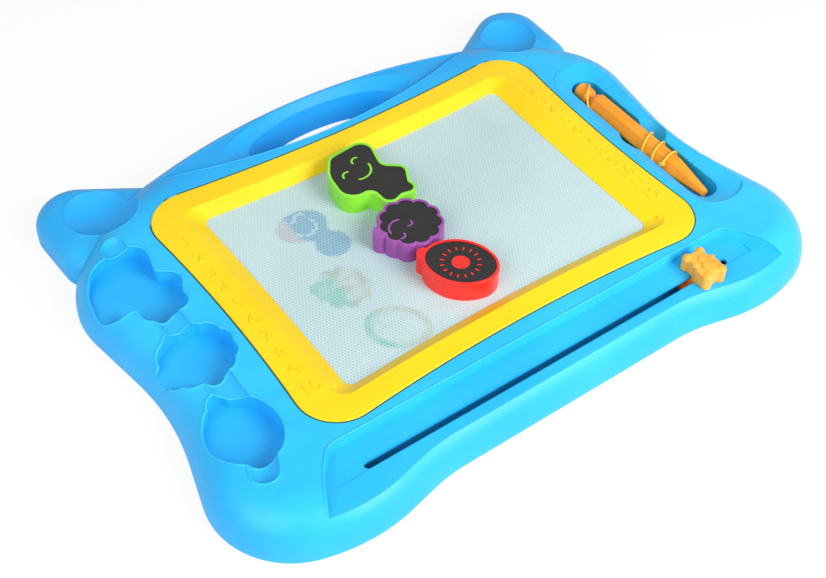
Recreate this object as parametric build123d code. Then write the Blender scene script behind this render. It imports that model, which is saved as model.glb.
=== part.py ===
from build123d import *
import math
import os

os.makedirs("parts", exist_ok=True)

# Frame: the board lies face up on the plane z = 0, +X runs from the stamp wells to the pen
# tray, +Y from the wipe slider to the carrying handle, and x = y = 0 is the screen's middle.

# Moulded housing
plate_half_width = 203.0
plate_half_depth = 149.0
shell_height = 26.0
shell_wall = 2.5
shoulder_radius = 25.0
overrun = 6.0
fit_clearance = 0.3

# Corners of the plate's outline from the handle's crown to the front edge: x, y and rounding,
# as shares of the half width, the half depth and the half width
plate_corner_shares = [
    (0.000, 1.105, 1.950),
    (0.757, 0.807, 0.650),
    (0.978, 0.473, 0.286),
    (0.911, -0.174, 0.739),
    (1.057, -0.887, 0.241),
    (0.687, -1.022, 0.493),
    (0.434, -0.940, 0.493),
]

# Cat-ear lobe beside the handle, in the same shares
ear_corner_shares = [
    (0.921, 1.148, 0.118),
    (0.909, 0.570, 0.099),
    (0.739, 0.470, 0.099),
    (0.517, 0.638, 0.069),
    (0.517, 0.807, 0.069),
]
corner_fill_share = 0.98
ear_drop = 7.0
ear_shoulder = 12.0
dish_radius = 30.0
dish_depth = 14.0
dish_x = 153.0
dish_y = 118.0

# Carrying handle with its finger opening
handle_drop = 3.0
crease_y = 98.5
crease_radius = 348.0
finger_centre_y = 111.5
scoop_half_width = 71.0
scoop_half_depth = 24.5
grip_half_width = 54.0
grip_half_depth = 19.0
grip_drop = 5.0
outlet_half_width = 46.0
outlet_half_depth = 17.0

# Yellow bezel and the recess that takes it
bezel_half_width = 140.0
bezel_half_depth = 101.7
bezel_side_bow = 5.6
bezel_end_bow = 9.0
bezel_corner = 24.0
bezel_flange = 3.2
bezel_proud = 0.6
bezel_edge_round = 0.9
view_half_width = 107.4
view_half_depth = 75.9
view_side_bow = 1.0
view_end_bow = 4.0
view_corner = 5.0
slope_width = 10.6
slope_depth = 8.0
slope_land = 0.5
slope_corner = 9.0

# Drawing panel: two films on a celled core
panel_half_width = 112.0
panel_half_depth = 80.5
panel_corner = 6.0
panel_top_drop = 5.3
film_thickness = 0.4
core_thickness = 2.2
window_half_width = 107.0
window_half_depth = 75.5
ledge_thickness = 2.0

# Wipe slider pocket and slot at the front
pocket_drop = 6.0
pocket_draft = 15.0
pocket_back_y = -105.3
pocket_corner = 17.0
pocket_shoulder_x = 138.0
pocket_side_x = 147.5
pocket_side_y = -116.0
pocket_mouth_x = 163.0
pocket_mouth_y = -143.0
slot_y = -121.8
slot_end_clearance = 1.5
slot_width = 4.6
groove_half_length = 146.5
groove_width = 6.3
groove_depth = 0.6

# Stamp wells and the finger channel that joins them
well_depth = 11.0
well_clearance = 2.0
channel_radius = 9.0
channel_rise = 4.5
channel_x = -161.3
channel_back_y = 83.0
channel_front_y = -66.0
channel_tail_y = -76.0
channel_end_x = -172.5
channel_end_y = -99.0

# Pen tray: a sloped basin round a deeper trough with a thumb scoop
tray_left_x = 139.4
tray_bow_x = 138.2
tray_right_x = 182.0
tray_back_y = 64.0
tray_front_y = -89.5
tray_front_left_x = 141.5
tray_front_right_x = 186.0
tray_back_round = 19.0
tray_front_round = 21.0
tray_bow_round = 400.0
tray_step = 0.8
tray_slope_depth = 5.0
trough_x = 159.6
trough_radius = 9.6
trough_back_y = 52.5
trough_front_y = -77.5
trough_axis_drop = 8.0
thumb_radius = 17.0
thumb_x = 161.0
thumb_y = -11.0
thumb_rise = 3.0

# Base cover, its screws and the shell's screw bosses
cover_recess = 0.8
cover_thickness = 2.2
cup_radius = 4.8
cup_height = 5.4
cup_bore = 3.8
cup_floor = 2.0
boss_radius = 3.4
boss_place_shares = [
    (0.867, 0.752),
    (0.434, 0.819),
    (0.663, 0.161),
    (0.663, -0.416),
    (0.877, -0.752),
    (0.222, -0.883),
]
screw_shank_radius = 1.5
screw_head_radius = 3.2
screw_head_height = 1.8
screw_length = 10.0
screw_fit = 0.05
screw_hole_clearance = 0.2
cover_rib_height = 5.0
cover_rib_width = 1.6
cover_rib_half_length = 118.0
cover_rib_count = 5
cover_rib_pitch = 32.0
cover_rib_first_y = -82.0
cover_clearance = 0.4

# Bezel screws
bezel_screw_place_shares = [(0.886, 0.541), (0.429, 0.863)]
bezel_boss_radius = 2.4
bezel_boss_gap = 0.2
bezel_screw_shank = 1.2
bezel_screw_head = 4.0
bezel_screw_head_height = 1.6
bezel_screw_reach = 4.6

# Eraser: knob, cross bar, magnet strip and rails
knob_x = 108.5
knob_stop_x = 120.5
knob_height = 9.6
knob_round = 1.8
knob_inner_round = 0.9
knob_head_radius = 6.6
knob_head_y = 3.6
knob_ear_radius = 3.0
knob_ear_x = 5.0
knob_ear_y = 8.8
knob_body_width = 17.0
knob_body_depth = 12.0
knob_body_y = -4.2
knob_body_corner = 4.5
knob_foot_radius = 3.4
knob_foot_x = 5.4
knob_foot_y = -8.6
knob_snout_radius = 2.7
knob_snout_y = 2.0
knob_belly_radius = 4.4
knob_relief = 0.9
knob_relief_round = 0.6
stem_width = 13.0
stem_thickness = 3.8
stem_socket_clearance = 0.1
bar_width = 13.0
bar_bottom = 9.8
bar_top = 14.6
bar_back_y = 90.0
bar_pocket_count = 9
bar_pocket_width = 8.0
bar_pocket_wall = 2.0
bar_pocket_depth = 1.8
magnet_width = 8.0
magnet_thickness = 3.0
magnet_half_length = 73.0
magnet_seat = 12.3
magnet_clearance = 0.1
carriage_length = 24.0
carriage_width = 10.6
collar_wall = 1.8
collar_top = 17.0
stem_bottom = 13.4
knob_screw_shank = 1.2
knob_screw_head = 2.8
knob_screw_head_height = 1.6
knob_screw_inset = 0.1
knob_screw_reach = 5.0
rail_width = 1.6
rail_half_length = 130.0
rail_y = 60.0

# Pen: six-sided barrel, nose, tail and tip magnet
pen_axis_drop = 8.2
pen_back_y = 49.5
pen_tail_radius = 5.6
pen_tail_round = 2.4
pen_neck_radius = 4.2
pen_neck_back_y = 37.5
pen_neck_front_y = 34.5
pen_shoulder_y = 30.5
pen_corner_radius = 7.5
pen_shoulder_radius = 5.4
pen_nose_y = -44.0
pen_tip_y = -71.5
pen_tip_radius = 2.9
pen_corner_round = 1.1
pen_sides = 6
pen_bore_radius = 4.6
pen_spigot_length = 8.0
pen_spigot_clearance = 0.05
pen_magnet_radius = 1.9
pen_magnet_length = 12.0
pen_tip_wall = 1.0

# Pen cord: out of a bore in the tail, over the tail's end, under the barrel and round the grip.
# Its stations give the turn about the pen's axis, the place along it and the distance from it.
cord_radius = 0.7
cord_bore_clearance = 0.05
cord_station_turn = 45.0
cord_bore_route = [(46.0, 47.6, 3.6), (50.0, 46.0, 5.9)]
cord_lead_route = [
    (72.0, 42.6, 6.9),
    (108.0, 38.8, 7.5),
    (145.0, 34.4, 8.0),
    (180.0, 29.2, 8.3),
    (225.0, 20.0, 8.3),
    (270.0, 9.5, 8.3),
    (315.0, -2.0, 8.3),
]
winding_radius = 8.3
winding_start_turn = 360.0
winding_start_y = -13.0
winding_half_loops = 5
winding_pitch = 11.5
winding_slant = 4.5
winding_slant_fall_share = 1.3

# Stamps
stamp_height = 13.5
stamp_rim = 1.8
stamp_web = 2.0
stamp_face_depth = 2.2
stamp_sheet = 1.7
stamp_side_wall = 1.8
stamp_rib = 1.4
stamp_fit = 0.1
stamp_lid = 1.6
stamp_edge_round = 0.5
stroke_width = 1.3
stroke_drop = 0.2

# Pear stamp, its corners as shares of the pear's length
pear_length = 55.5
pear_corner_shares = [
    (0.298, 0.500, 0.123),
    (0.184, 0.061, 0.123),
    (0.395, -0.096, 0.088),
    (0.284, -0.307, 0.044),
    (0.325, -0.465, 0.070),
    (0.123, -0.421, 0.053),
    (-0.070, -0.491, 0.088),
    (-0.079, -0.184, 0.105),
    (-0.404, -0.193, 0.158),
    (-0.351, 0.219, 0.351),
    (-0.193, 0.447, 0.123),
]
pear_rest = (-13.0, 42.9)
pear_well = (-165.2, 46.8)
pear_face_place = (-5.3, 11.9)
pear_face_turn = 34.6

# Grape stamp
grape_lobes = 11
grape_lobe_radius = 5.0
grape_ring_radius = 13.1
grape_leaf_radius = 5.0
grape_leaf_reach = 18.6
grape_leaf_turn = 171.0
grape_rest = (-15.5, -2.9)
grape_well = (-161.5, -13.5)
grape_well_turn = 8.0
grape_face_place = (-5.5, -3.6)
grape_face_turn = 214.0
grape_face_scale = 0.8

# Citrus stamp
citrus_half_length = 20.5
citrus_half_width = 15.8
citrus_end_share = 0.8
citrus_turn = -52.0
citrus_tab_radius = 4.6
citrus_tab_reach = 21.5
citrus_tab_round = 1.5
citrus_disc_radius = 5.2
citrus_seeds = 16
citrus_seed_length = 2.8
citrus_seed_width = 1.0
citrus_seed_ring = 10.8
citrus_rest = (-10.6, -45.0)
citrus_well = (-167.6, -70.5)
citrus_well_turn = -34.0

# Smiling face of the fruit stamps: half spans and drops from the line of the eyes
face_eye_x = 6.9
face_eye_half = 2.9
face_eye_rise = 1.7
face_smile_half = 7.4
face_smile_drop = 8.7
face_smile_low = 12.6

# Levels worked out from the sizes above
deck_z = shell_height
ledge_z = deck_z - bezel_flange
panel_top_z = deck_z - panel_top_drop
panel_bottom_z = panel_top_z - core_thickness - 2 * film_thickness
pocket_z = deck_z - pocket_drop
well_z = deck_z - well_depth
trough_z = deck_z - trough_axis_drop
cover_top_z = cover_recess + cover_thickness
cup_top_z = cover_recess + cup_height
sky_z = deck_z + overrun
pen_axis_z = deck_z - pen_axis_drop
slot_half_length = knob_stop_x + stem_width / 2 + slot_end_clearance


def write(name, shape):
    shape.label = name
    export_step(shape, f"parts/{name}.step")


def both_sides(shape):
    return shape + mirror(shape, about=Plane.YZ)


def fitted_radii(points, radii):
    corners = [Vector(*point) for point in points]
    following = corners[1:] + corners[:1]
    sides = [after - corner for corner, after in zip(corners, following)]
    angles = [(-before).get_angle(side) for before, side in zip(sides[-1:] + sides[:-1], sides)]
    reaches = [radius / math.tan(math.radians(angle) / 2) for radius, angle in zip(radii, angles)]
    spans = zip(sides, reaches, reaches[1:] + reaches[:1])
    rooms = [side.length / (reach + other) for side, reach, other in spans]
    rooms = [1 if room > 1 else room * corner_fill_share for room in rooms]
    return [r * min(here, before) for r, here, before in zip(radii, rooms, rooms[-1:] + rooms[:-1])]


def corner_outline(shares, half_width, half_depth):
    points = [(x * half_width, y * half_depth) for x, y, _ in shares]
    radii = fitted_radii(points, [radius * half_width for _, _, radius in shares])
    with BuildSketch() as sketch:
        with BuildLine():
            FilletPolyline(*points, radius=radii, close=True)
        make_face()
    return sketch.sketch


def bowed_outline(half_width, half_depth, side_bow, end_bow, corner):
    left, right, front, back = -half_width, half_width, -half_depth, half_depth
    with BuildSketch() as sketch:
        with BuildLine():
            ThreePointArc((left, back), (0, back - end_bow), (right, back))
            ThreePointArc((right, back), (right - side_bow, 0), (right, front))
            ThreePointArc((right, front), (0, front + end_bow), (left, front))
            ThreePointArc((left, front), (left + side_bow, 0), (left, back))
        make_face()
        fillet(sketch.vertices(), corner)
    return sketch.sketch


def grown(outline, amount):
    return offset(outline, amount=amount) if amount else outline


def prism(outline, bottom, top):
    return extrude(Pos(0, 0, bottom) * outline, top - bottom, dir=(0, 0, 1))


def place(outline, spot, turn=0.0):
    return Pos(*spot) * Rot(0, 0, turn) * outline


def top_edges(solid):
    return solid.faces().sort_by(Axis.Z)[-1].edges()


def bottom_edges(solid):
    return solid.faces().sort_by(Axis.Z)[0].edges()


def capsule(radius, run):
    with BuildSketch(Plane.XY) as sketch:
        with BuildLine():
            Line((0, -run / 2 - radius), (0, run / 2 + radius))
            RadiusArc((0, run / 2 + radius), (radius, run / 2), radius)
            Line((radius, run / 2), (radius, -run / 2))
            RadiusArc((radius, -run / 2), (0, -run / 2 - radius), radius)
        make_face()
    return revolve(sketch.sketch, Axis.Y)


def upright(x, y, radius, bottom, top):
    return Pos(x, y, (bottom + top) / 2) * Cylinder(radius, top - bottom)


def block(x, y, width, depth, bottom, top):
    return Pos(x, y, (bottom + top) / 2) * Box(width, depth, top - bottom)


# Outlines of the three stamps, their faces and the wells that take them
def pear_face():
    return corner_outline(pear_corner_shares, pear_length, pear_length)


def grape_face():
    face = Circle(grape_ring_radius).face()
    for lobe in range(grape_lobes):
        turn = Rot(0, 0, lobe * 360 / grape_lobes)
        face += turn * Pos(grape_ring_radius, 0) * Circle(grape_lobe_radius)
    return face


def grape_outline(grow):
    leaf = Rot(0, 0, grape_leaf_turn) * Pos(grape_leaf_reach, 0) * Circle(grape_leaf_radius + grow)
    return grown(grape_face(), stamp_rim + grow) + leaf


def citrus_face():
    end = citrus_half_width * citrus_end_share
    reach = citrus_half_length - end
    rise = citrus_half_width - end
    drop = (reach**2 - rise**2) / (2 * rise)
    span = math.hypot(reach, drop)
    side = citrus_half_width + drop
    knee_x = side * reach / span
    knee_y = side * drop / span - drop
    with BuildSketch() as sketch:
        with BuildLine():
            ThreePointArc((-knee_x, knee_y), (0, citrus_half_width), (knee_x, knee_y))
            ThreePointArc((knee_x, knee_y), (citrus_half_length, 0), (knee_x, -knee_y))
            ThreePointArc((knee_x, -knee_y), (0, -citrus_half_width), (-knee_x, -knee_y))
            ThreePointArc((-knee_x, -knee_y), (-citrus_half_length, 0), (-knee_x, knee_y))
        make_face()
    return Rot(0, 0, citrus_turn) * sketch.sketch


def citrus_outline(grow):
    spot = Rot(0, 0, citrus_turn) * Pos(-citrus_tab_reach, 0)
    outline = grown(citrus_face(), stamp_rim + grow) + spot * Circle(citrus_tab_radius + grow)
    corners = outline.vertices().sort_by_distance(spot.position)[:2]
    return fillet(corners, citrus_tab_round)


def pear_outline(grow):
    return grown(pear_face(), stamp_rim + grow)


def finger_zone(grow):
    ring = Circle(crease_radius + grow)
    return Pos(0, crease_y + crease_radius) * ring


def finger_tool(grow):
    scoop_z = deck_z - handle_drop
    grip_z = scoop_z - grip_drop
    centre = Pos(0, finger_centre_y)
    scoop = centre * Ellipse(scoop_half_width + grow, scoop_half_depth + grow)
    grip = centre * Ellipse(grip_half_width + grow, grip_half_depth + grow)
    outlet = centre * Ellipse(outlet_half_width + grow, outlet_half_depth + grow)
    tool = loft([Pos(0, 0, grip_z - grow) * grip.face(), Pos(0, 0, scoop_z) * scoop.face()])
    tool += loft([outlet.face(), Pos(0, 0, grip_z - grow) * grip.face()])
    tool += prism(scoop, scoop_z, sky_z)
    tool += prism(outlet, -overrun, 0)
    return tool & prism(finger_zone(grow), -overrun, sky_z)


def board_outlines(inset):
    mirrored = [(-x, y, radius) for x, y, radius in plate_corner_shares[:0:-1]]
    plate = corner_outline(plate_corner_shares + mirrored, plate_half_width, plate_half_depth)
    ear = corner_outline(ear_corner_shares, plate_half_width, plate_half_depth)
    plate = grown(plate, -inset)
    ear = grown(ear, -inset)
    return plate, ear, mirror(ear, about=Plane.YZ)


def board_form(inset):
    plate, ear, other_ear = board_outlines(inset)
    plate = prism(plate, 0, deck_z - inset)
    form = fillet(top_edges(plate), shoulder_radius - inset)
    for outline in (ear, other_ear):
        lobe = prism(outline, 0, deck_z - ear_drop - inset)
        form += fillet(top_edges(lobe), ear_shoulder - inset)
    return form - prism(finger_zone(inset), deck_z - handle_drop - inset, sky_z)


def dish_tool(grow):
    ball = Sphere(dish_radius + grow)
    return both_sides(Pos(dish_x, dish_y, deck_z - dish_depth + dish_radius) * ball)


def well_tools(grow):
    room = well_clearance + grow
    wells = [
        place(pear_outline(room), pear_well),
        place(grape_outline(room), grape_well, grape_well_turn),
        place(citrus_outline(room), citrus_well, citrus_well_turn),
    ]
    return [prism(well, well_z - grow, sky_z) for well in wells]


def channel_tools(grow):
    radius = channel_radius + grow
    axis_z = deck_z + channel_rise
    across = channel_end_x - channel_x
    along = channel_end_y - channel_tail_y
    tail_turn = -math.degrees(math.atan2(across, along))
    main = capsule(radius, channel_back_y - channel_front_y)
    tail = Rot(0, 0, tail_turn) * capsule(radius, math.hypot(across, along))
    main_y = (channel_back_y + channel_front_y) / 2
    tail_x = (channel_x + channel_end_x) / 2
    tail_y = (channel_tail_y + channel_end_y) / 2
    return [Pos(channel_x, main_y, axis_z) * main, Pos(tail_x, tail_y, axis_z) * tail]


def pocket_outline():
    back = [(-pocket_shoulder_x, pocket_back_y), (pocket_shoulder_x, pocket_back_y)]
    right = [(pocket_side_x, pocket_side_y), (pocket_mouth_x, pocket_mouth_y)]
    front_y = -plate_half_depth - overrun
    front = [(pocket_mouth_x + overrun, front_y), (-pocket_mouth_x - overrun, front_y)]
    left = [(-x, y) for x, y in reversed(right)]
    points = back + right + front + left
    small = fit_clearance
    radii = [pocket_corner / 2] * 2 + [pocket_corner] + [small] * 4 + [pocket_corner]
    with BuildSketch() as sketch:
        with BuildLine():
            FilletPolyline(*points, radius=radii, close=True)
        make_face()
    return sketch.sketch


def pocket_tool(grow):
    outline = Pos(0, 0, pocket_z - grow) * grown(pocket_outline(), grow)
    return extrude(outline, sky_z - pocket_z + grow, dir=(0, 0, 1), taper=-pocket_draft)


def tray_outline():
    points = [
        (tray_left_x, tray_back_y),
        (tray_right_x, tray_back_y),
        (tray_front_right_x, tray_front_y),
        (tray_front_left_x, tray_front_y),
        (tray_bow_x, 0),
    ]
    radii = [tray_back_round] * 2 + [tray_front_round] * 2 + [tray_bow_round]
    with BuildSketch() as sketch:
        with BuildLine():
            FilletPolyline(*points, radius=radii, close=True)
        make_face()
    return sketch.sketch


def trough_outline(radius):
    run = trough_back_y - trough_front_y
    middle_y = (trough_back_y + trough_front_y) / 2
    slot = SlotOverall(run + 2 * (radius - trough_radius), 2 * radius, rotation=90)
    return Pos(trough_x, middle_y) * slot


def tray_tools(grow):
    slope_z = deck_z - tray_slope_depth - grow
    step_z = deck_z - tray_step - grow
    radius = trough_radius + grow
    rim = grown(tray_outline(), grow)
    slope = loft([Pos(0, 0, slope_z) * trough_outline(radius).face(), Pos(0, 0, step_z) * rim.face()])
    run = trough_back_y - trough_front_y - 2 * trough_radius
    middle_y = (trough_back_y + trough_front_y) / 2
    trough = Pos(trough_x, middle_y, trough_z) * capsule(radius, run)
    well = prism(trough_outline(radius), trough_z, slope_z)
    thumb = Pos(thumb_x, thumb_y, deck_z + thumb_rise) * Sphere(thumb_radius + grow)
    return [prism(rim, step_z, sky_z), slope, well, trough, thumb]


def bezel_outline(grow):
    half_width = bezel_half_width + grow
    half_depth = bezel_half_depth + grow
    corner = bezel_corner + grow
    return bowed_outline(half_width, half_depth, bezel_side_bow, bezel_end_bow, corner)


def panel_outline(grow):
    half_width = panel_half_width + grow
    half_depth = panel_half_depth + grow
    return RectangleRounded(2 * half_width, 2 * half_depth, panel_corner + grow)


def screen_tool(grow):
    tool = prism(bezel_outline(fit_clearance + grow), ledge_z - grow, sky_z)
    floor_z = panel_bottom_z - (ledge_thickness if grow else 0)
    return tool + prism(panel_outline(fit_clearance + grow), floor_z, ledge_z)


def boss_spots():
    spots = [(x * plate_half_width, y * plate_half_depth) for x, y in boss_place_shares]
    return [(side * x, y) for x, y in spots for side in (-1, 1)]


def bezel_screw_spots():
    shares = bezel_screw_place_shares
    spots = [(x * bezel_half_width, y * bezel_half_depth) for x, y in shares]
    return [(sx * x, sy * y) for x, y in spots for sx in (-1, 1) for sy in (-1, 1)]


def carve(form, grow):
    form -= dish_tool(grow)
    for tool in well_tools(grow) + channel_tools(grow) + tray_tools(grow):
        form -= tool
    form -= pocket_tool(grow)
    form -= screen_tool(grow)
    return form - finger_tool(grow)


def top_shell():
    outer = carve(board_form(0), 0)
    hollow = carve(board_form(shell_wall), shell_wall)
    for x, y in boss_spots():
        hollow -= upright(x, y, boss_radius, cup_top_z, sky_z)
    shell = outer - hollow
    window = RectangleRounded(2 * window_half_width, 2 * window_half_depth, panel_corner)
    shell -= prism(window, -overrun, sky_z)
    slot = SlotOverall(2 * slot_half_length, slot_width)
    shell -= Pos(0, slot_y) * prism(slot, 0, sky_z)
    groove = Rectangle(2 * groove_half_length, groove_width)
    shell -= Pos(0, slot_y) * prism(groove, pocket_z - groove_depth, sky_z)
    for x, y in boss_spots():
        hole_top = cup_top_z - cup_floor + screw_length
        shell -= upright(x, y, screw_shank_radius + screw_fit, cup_top_z, hole_top)
    for x, y in bezel_screw_spots():
        shell -= upright(x, y, bezel_boss_radius + screw_hole_clearance, 0, ledge_z + fit_clearance)
    return shell


def view_outline(rise):
    reach = rise / (deck_z + bezel_proud - panel_top_z - slope_land)
    half_width = view_half_width + reach * slope_width
    half_depth = view_half_depth + reach * slope_depth
    corner = view_corner + reach * (slope_corner - view_corner)
    return bowed_outline(half_width, half_depth, view_side_bow, view_end_bow, corner)


def bezel():
    top_z = deck_z + bezel_proud
    frame = prism(bezel_outline(0), ledge_z, top_z)
    frame = fillet(top_edges(frame), bezel_edge_round)
    frame += prism(panel_outline(0), panel_top_z, ledge_z)
    land_z = panel_top_z + slope_land
    past_z = top_z + bezel_proud
    frame -= prism(view_outline(0), 0, sky_z)
    slope = [(land_z, view_outline(0)), (past_z, view_outline(past_z - land_z))]
    frame -= loft([Pos(0, 0, z) * outline.face() for z, outline in slope])
    boss_z = ledge_z - shell_wall + bezel_boss_gap
    hole_z = ledge_z - shell_wall + bezel_screw_reach
    for x, y in bezel_screw_spots():
        frame += upright(x, y, bezel_boss_radius, boss_z, ledge_z)
    for x, y in bezel_screw_spots():
        frame -= upright(x, y, bezel_screw_shank + screw_fit, boss_z, hole_z)
    return frame


def screw(x, y, seat_z, head_radius, head_height, shank_radius, reach):
    body = upright(x, y, head_radius, seat_z - head_height, seat_z)
    body = chamfer(bottom_edges(body), head_height / 4)
    body += upright(x, y, shank_radius, seat_z, seat_z + reach)
    drive = shank_radius * 1.6
    blade = shank_radius / 2
    depth = head_height / 2
    for width, length in [(drive, blade), (blade, drive)]:
        body -= block(x, y, width, length, seat_z - head_height, seat_z - head_height + depth)
    return body


def bezel_screws():
    seat_z = ledge_z - shell_wall
    shape = (bezel_screw_head, bezel_screw_head_height, bezel_screw_shank, bezel_screw_reach)
    return Compound([screw(x, y, seat_z, *shape).solid() for x, y in bezel_screw_spots()])


def base_screws():
    seat_z = cup_top_z - cup_floor
    shape = (screw_head_radius, screw_head_height, screw_shank_radius, screw_length)
    return Compound([screw(x, y, seat_z, *shape).solid() for x, y in boss_spots()])


def base_cover():
    inset = shell_wall + cover_clearance
    cover = None
    for outline in board_outlines(inset):
        plate = prism(outline, cover_recess, cover_top_z)
        cover = plate if cover is None else cover + plate
    cover -= finger_tool(inset)
    rib_top_z = cover_top_z + cover_rib_height
    for index in range(cover_rib_count):
        y = cover_rib_first_y + index * cover_rib_pitch
        cover += block(0, y, 2 * cover_rib_half_length, cover_rib_width, cover_recess, rib_top_z)
    for y in (-rail_y, rail_y):
        cover += block(0, y, 2 * rail_half_length, rail_width, cover_recess, bar_bottom)
    for x, y in boss_spots():
        cover += upright(x, y, cup_radius, cover_recess, cup_top_z)
    for x, y in boss_spots():
        cover -= upright(x, y, cup_bore, cover_recess, cup_top_z - cup_floor)
        cover -= upright(x, y, screw_shank_radius + screw_hole_clearance, 0, cup_top_z)
    return cover


def screen_films():
    back = prism(panel_outline(0), panel_bottom_z, panel_bottom_z + film_thickness)
    core = prism(panel_outline(0), panel_bottom_z + film_thickness, panel_top_z - film_thickness)
    front = prism(panel_outline(0), panel_top_z - film_thickness, panel_top_z)
    return {"screen_back_film": back, "screen_cell_core": core, "screen_front_film": front}


# Eraser
def knob_outline():
    outline = Pos(0, knob_head_y) * Circle(knob_head_radius)
    outline += Pos(0, knob_body_y) * RectangleRounded(knob_body_width, knob_body_depth, knob_body_corner)
    for side in (-1, 1):
        outline += Pos(side * knob_ear_x, knob_ear_y) * Circle(knob_ear_radius)
        outline += Pos(side * knob_foot_x, knob_foot_y) * Circle(knob_foot_radius)
    return fillet(outline.vertices(), knob_inner_round)


def eraser_knob():
    bottom_z = pocket_z + fit_clearance
    top_z = bottom_z + knob_height
    head = prism(place(knob_outline(), (knob_x, slot_y)), bottom_z, top_z)
    head = fillet(top_edges(head), knob_round)
    for y, radius in [(knob_snout_y, knob_snout_radius), (knob_body_y, knob_belly_radius)]:
        disc = upright(knob_x, slot_y + y, radius, bottom_z, top_z + knob_relief)
        head += fillet(top_edges(disc), knob_relief_round)
    head += block(knob_x, slot_y, stem_width, stem_thickness, stem_bottom, bottom_z)
    seat_z = bar_bottom + knob_screw_inset + knob_screw_head_height
    return head - upright(
        knob_x, slot_y, knob_screw_shank + screw_fit, stem_bottom, seat_z + knob_screw_reach
    )


def eraser_bar():
    middle_y = (slot_y + bar_back_y) / 2
    length = bar_back_y - slot_y
    bar = block(knob_x, middle_y, bar_width, length, bar_bottom, bar_top)
    bar += block(knob_x, slot_y, carriage_length, carriage_width, bar_bottom, stem_bottom)
    collar = 2 * (collar_wall + stem_socket_clearance)
    socket = 2 * stem_socket_clearance
    bar += block(
        knob_x, slot_y, stem_width + collar, stem_thickness + collar, bar_bottom, collar_top
    )
    bar -= block(knob_x, slot_y, stem_width + socket, stem_thickness + socket, stem_bottom, sky_z)
    seat = 2 * magnet_clearance
    bar -= block(
        knob_x, 0, magnet_width + seat, 2 * magnet_half_length + seat, magnet_seat, sky_z
    )
    bay = 2 * magnet_half_length / bar_pocket_count
    for index in range(bar_pocket_count):
        y = (index + 0.5) * bay - magnet_half_length
        depth = bar_bottom + bar_pocket_depth
        bar -= block(knob_x, y, bar_pocket_width, bay - bar_pocket_wall, bar_bottom, depth)
    head = knob_screw_head + fit_clearance
    seat_z = bar_bottom + knob_screw_inset + knob_screw_head_height
    bar -= upright(knob_x, slot_y, head, bar_bottom, seat_z)
    return bar - upright(
        knob_x, slot_y, knob_screw_shank + screw_hole_clearance, bar_bottom, stem_bottom
    )


def eraser_magnet():
    top_z = magnet_seat + magnet_thickness
    return block(knob_x, 0, magnet_width, 2 * magnet_half_length, magnet_seat, top_z)


def eraser_screw():
    seat_z = bar_bottom + knob_screw_inset + knob_screw_head_height
    shape = (knob_screw_head, knob_screw_head_height, knob_screw_shank, knob_screw_reach)
    return screw(knob_x, slot_y, seat_z, *shape)


# Pen, built along Y through the tray's trough
def pen_plane(y):
    return Plane(origin=(trough_x, y, pen_axis_z), x_dir=(1, 0, 0), z_dir=(0, 1, 0))


def pen_rod(radius, front_y, back_y):
    return extrude(pen_plane(front_y) * Circle(radius), back_y - front_y, dir=(0, 1, 0))


def pen_section(y, corner_radius):
    sides = fillet(RegularPolygon(corner_radius, pen_sides).vertices(), pen_corner_round)
    return pen_plane(y) * sides.face()


def pen_barrel():
    grip = pen_section(pen_nose_y, pen_corner_radius)
    barrel = extrude(grip, pen_shoulder_y - pen_nose_y, dir=(0, 1, 0))
    barrel += loft([
        pen_section(pen_shoulder_y, pen_corner_radius),
        pen_section(pen_neck_front_y, pen_shoulder_radius),
    ])
    return barrel - pen_rod(pen_bore_radius, pen_nose_y, pen_neck_front_y)


def pen_nose():
    nose = loft([
        pen_section(pen_tip_y, pen_tip_radius),
        pen_section(pen_nose_y, pen_corner_radius),
    ])
    spigot = pen_bore_radius - pen_spigot_clearance
    nose += pen_rod(spigot, pen_nose_y, pen_nose_y + pen_spigot_length)
    magnet_y = pen_tip_y + pen_tip_wall
    bore = pen_magnet_radius + pen_spigot_clearance
    return nose - pen_rod(bore, magnet_y, pen_nose_y + pen_spigot_length)


def pen_magnet():
    magnet_y = pen_tip_y + pen_tip_wall
    return pen_rod(pen_magnet_radius, magnet_y, magnet_y + pen_magnet_length)


def pen_tail():
    cap = pen_rod(pen_tail_radius, pen_neck_back_y, pen_back_y)
    cap = fillet(cap.edges().filter_by(GeomType.CIRCLE), pen_tail_round)
    tail = cap + pen_rod(pen_neck_radius, pen_neck_front_y, pen_neck_back_y + pen_tail_round)
    spigot = pen_bore_radius - pen_spigot_clearance
    tail += pen_rod(spigot, pen_neck_front_y - pen_spigot_length, pen_neck_front_y)
    start, end = [cord_point(*station) for station in cord_bore_route]
    way = (end - start).normalized()
    bore = Circle(cord_radius + cord_bore_clearance)
    return tail - extrude(Plane(origin=start, z_dir=way) * bore, pen_tail_radius, dir=way)


def cord_point(turn, y, radius):
    angle = math.radians(turn)
    x = trough_x + radius * math.cos(angle)
    return Vector(x, y, pen_axis_z + radius * math.sin(angle))


def winding_points():
    steps = round(winding_half_loops * 180 / cord_station_turn)
    points = []
    for step in range(steps + 1):
        turn = step * cord_station_turn
        loops = turn / 360
        fall = 1 - winding_slant_fall_share * step / steps
        lean = winding_slant * fall * (1 - math.cos(math.radians(turn))) / 2
        y = winding_start_y - winding_pitch * loops - lean
        points.append(cord_point(winding_start_turn + turn, y, winding_radius))
    return points


def biarc(start, start_way, end, end_way):
    span = end - start
    way = start_way + end_way
    square = 2 * (1 - start_way.dot(end_way))
    along = span.dot(way)
    reach = span.dot(span) / (2 * along)
    if square > 1e-6:
        reach = (math.sqrt(along**2 + square * span.dot(span)) - along) / square
    first = start + start_way * reach
    last = end - end_way * reach
    middle = (first + last) * 0.5
    middle_way = (last - first).normalized()
    return [TangentArc(start, middle, tangent=start_way), TangentArc(middle, end, tangent=middle_way)]


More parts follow.
